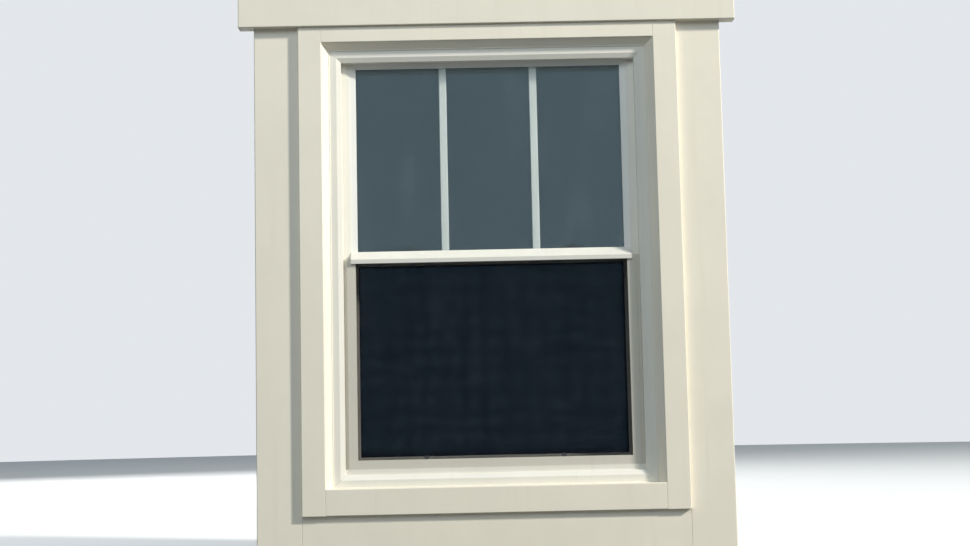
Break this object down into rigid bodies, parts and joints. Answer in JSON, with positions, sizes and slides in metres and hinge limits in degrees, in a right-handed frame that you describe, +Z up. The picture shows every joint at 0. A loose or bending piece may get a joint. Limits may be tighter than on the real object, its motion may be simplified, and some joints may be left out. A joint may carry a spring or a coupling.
{
  "type": "sash window",
  "caption": "Single-hung sash window with a fixed upper lite, a sliding lower sash, a half insect screen and a deep painted surround with an overhanging header board.",
  "frame": {"origin": "middle of the rough sill's back face, in the plane of the wall", "axes": "+X along the wall to the right seen from the street, +Y from the street into the house, +Z up"},
  "size_m": [1.273, 0.19, 1.4445],
  "materials": {
    "painted_trim": "semi-gloss cream coil wrap",
    "rough_timber": "planed softwood",
    "white_vinyl": "satin white extruded vinyl",
    "dark_glass": "clear glass before a dark room",
    "spacer_metal": "mill finish",
    "grille_paint": "white paint",
    "lock_metal": "white enamelled die casting",
    "latch_plastic": "white moulded plastic",
    "balance_metal": "white tube",
    "steel": "zinc plated",
    "screen_metal": "off-white rolled aluminium",
    "screen_cloth": "charcoal glass-fibre cloth",
    "fixing": "zinc plated",
    "pile": "grey woven pile",
    "spline_rubber": "black rubber cord",
    "key_plastic": "moulded nylon"
  },
  "bodies": {
    "window_frame": {"header_board": "painted_trim", "casing_left": "painted_trim", "casing_right": "painted_trim", "casing_bottom": "painted_trim", "trim_left": "painted_trim", "trim_right": "painted_trim", "trim_bottom": "painted_trim", "trim_head": "painted_trim", "stop_left": "painted_trim", "stop_right": "painted_trim", "stop_head": "painted_trim", "return_left": "painted_trim", "return_right": "painted_trim", "return_bottom": "painted_trim", "return_top": "painted_trim", "buck_left": "rough_timber", "buck_right": "rough_timber", "buck_sill": "rough_timber", "buck_head": "rough_timber", "main_frame": "white_vinyl", "meeting_rail": "white_vinyl", "bead_left": "white_vinyl", "bead_right": "white_vinyl", "bead_head": "white_vinyl", "upper_glass_outer": "dark_glass", "upper_glass_inner": "dark_glass", "upper_spacer": "spacer_metal", "grille_bar_left": "grille_paint", "grille_bar_right": "grille_paint", "keepers": "lock_metal", "screen_tabs": "latch_plastic", "balance_tube_left": "balance_metal", "balance_tube_right": "balance_metal", "screen_bar_left": "screen_metal", "screen_bar_right": "screen_metal", "screen_bar_bottom": "screen_metal", "screen_bar_top": "screen_metal", "screen_mesh": "screen_cloth", "keeper_screws": "fixing", "screen_spline": "spline_rubber", "screen_keys": "key_plastic"},
    "lower_sash": {"lower_sash": "white_vinyl", "lower_glass_outer": "dark_glass", "lower_glass_inner": "dark_glass", "lower_spacer": "spacer_metal", "sash_beads": "white_vinyl", "lock_base_left": "lock_metal", "lock_base_right": "lock_metal", "pivot_bars": "steel", "balance_shoe_left": "latch_plastic", "balance_shoe_right": "latch_plastic", "balance_rod_left": "steel", "balance_rod_right": "steel", "lock_screws": "fixing", "sash_pile": "pile", "sill_seal": "spline_rubber"},
    "left_lock": {"lock_lever_left": "lock_metal"},
    "right_lock": {"lock_lever_right": "lock_metal"},
    "left_latch": {"tilt_latch_left": "latch_plastic"},
    "right_latch": {"tilt_latch_right": "latch_plastic"}
  },
  "joints": [
    {"name": "sash_slide", "type": "slide", "parent": "window_frame", "child": "lower_sash", "axis": [0, 0, 1], "range_m": [0, 0.45]},
    {"name": "left_lock_turn", "type": "hinge", "parent": "lower_sash", "child": "left_lock", "pos_m": [-0.212, -0.075, 0.66], "axis": [0, 0, 1], "range_deg": [-90, 0]},
    {"name": "right_lock_turn", "type": "hinge", "parent": "lower_sash", "child": "right_lock", "pos_m": [0.212, -0.075, 0.66], "axis": [0, 0, -1], "range_deg": [-90, 0]},
    {"name": "left_latch_slide", "type": "slide", "parent": "lower_sash", "child": "left_latch", "axis": [1, 0, 0], "range_m": [0, 0.011], "stiffness_N_per_m": 300, "springref_m": -0.004},
    {"name": "right_latch_slide", "type": "slide", "parent": "lower_sash", "child": "right_latch", "axis": [-1, 0, 0], "range_m": [0, 0.011], "stiffness_N_per_m": 300, "springref_m": -0.004}
  ]
}
